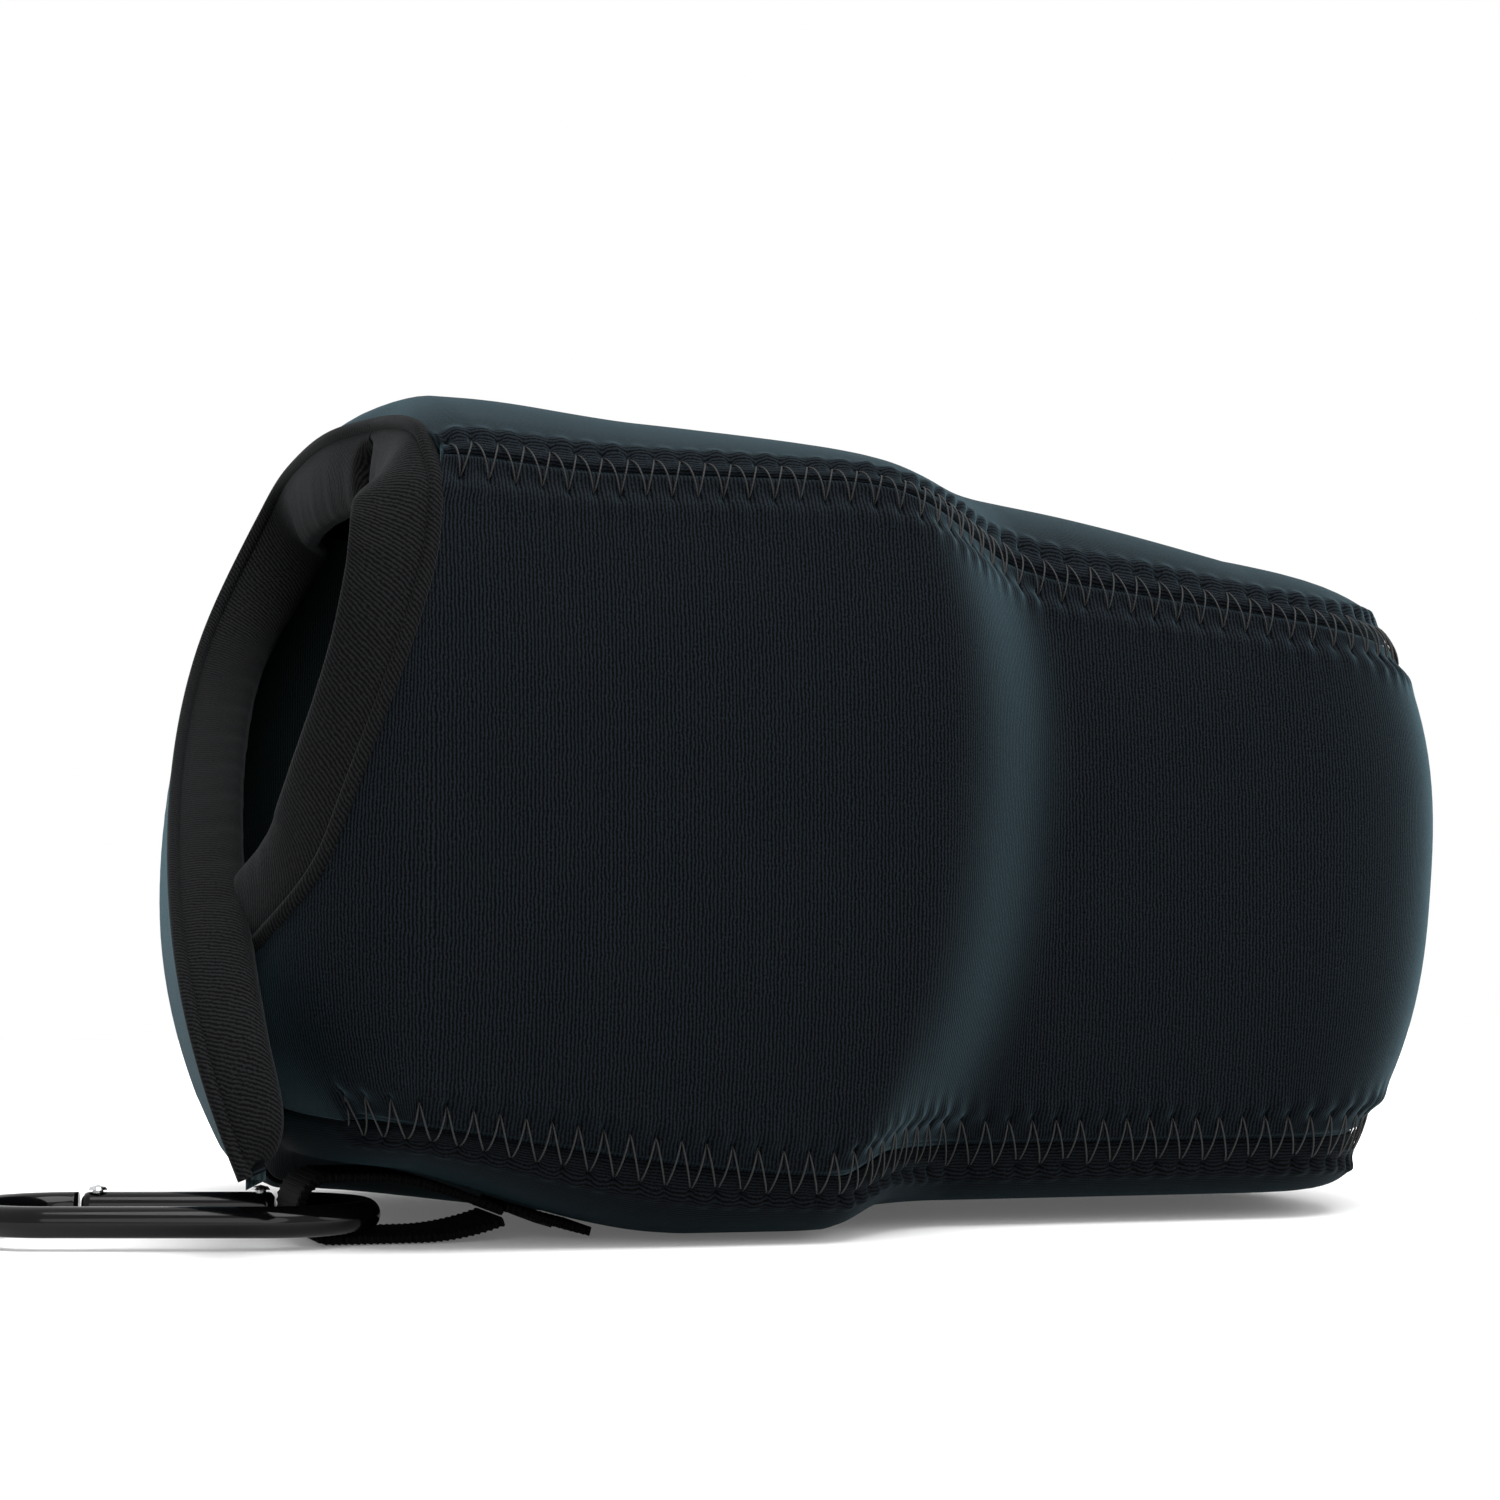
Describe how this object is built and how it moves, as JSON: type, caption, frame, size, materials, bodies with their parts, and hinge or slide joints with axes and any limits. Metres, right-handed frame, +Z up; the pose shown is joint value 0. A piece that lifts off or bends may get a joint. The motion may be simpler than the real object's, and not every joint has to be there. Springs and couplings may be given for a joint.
{
  "type": "neoprene camera case",
  "caption": "Soft T-shaped neoprene pouch for a camera with its lens, with crossing rear flaps bound in knit tape, and a carabiner on a webbing loop.",
  "frame": {"origin": "middle of the pouch's belly, on the surface that it stands on", "axes": "+X along the pouch to the nose, +Y to the far side panel, +Z up"},
  "size_m": [0.2356, 0.136, 0.1225],
  "materials": {
    "neoprene": "black jersey over neoprene foam, soft sheen",
    "knit_binding": "black tricot knit, fine ribs",
    "thread": "dark grey polyester thread, slightly shiny",
    "nylon_webbing": "black woven nylon",
    "black_aluminium": "gloss black anodised",
    "steel": "bright"
  },
  "bodies": {
    "pouch": {"near_side_panel": "neoprene", "far_side_panel": "neoprene", "top_panel": "neoprene", "bottom_panel": "neoprene", "top_near_stitches": "thread", "top_far_stitches": "thread", "bottom_near_stitches": "thread", "bottom_far_stitches": "thread", "nose_stitches": "thread", "mouth_piping": "knit_binding", "mouth_band": "knit_binding", "webbing_tail": "nylon_webbing", "webbing_tack": "thread"},
    "far_flap_body": {"far_flap": "neoprene", "far_flap_piping": "knit_binding", "far_flap_band": "knit_binding"},
    "near_flap_body": {"near_flap": "neoprene", "near_flap_piping": "knit_binding", "near_flap_band": "knit_binding"},
    "loop": {"webbing_loop": "nylon_webbing"},
    "carabiner": {"carabiner_frame": "black_aluminium", "gate_pivot_pin": "steel"},
    "gate": {"carabiner_gate": "black_aluminium", "gate_latch_pin": "steel", "gate_spring": "steel", "gate_plunger": "steel"}
  },
  "joints": [
    {"name": "far_flap_open", "type": "hinge", "parent": "pouch", "child": "far_flap_body", "pos_m": [-0.062, 0.068, 0.05], "axis": [0, 0, -1], "range_deg": [0, 110], "stiffness_Nm_per_rad": 0.05},
    {"name": "near_flap_fold", "type": "hinge", "parent": "pouch", "child": "near_flap_body", "pos_m": [-0.062, -0.06, 0.05], "axis": [0, 0, -1], "range_deg": [0, 35], "stiffness_Nm_per_rad": 0.05},
    {"name": "loop_hang", "type": "hinge", "parent": "pouch", "child": "loop", "pos_m": [-0.047, -0.034, 0.0035], "axis": [0, -1, 0], "range_deg": [0, 90]},
    {"name": "carabiner_swivel", "type": "hinge", "parent": "loop", "child": "carabiner", "pos_m": [-0.0785, -0.03442, 0.00395], "axis": [0, 0, 1], "range_deg": [-30, 60]},
    {"name": "gate_open", "type": "hinge", "parent": "carabiner", "child": "gate", "pos_m": [-0.07809, -0.02101, 0.00395], "axis": [0, 0, 1], "range_deg": [0, 30], "stiffness_Nm_per_rad": 0.02}
  ]
}
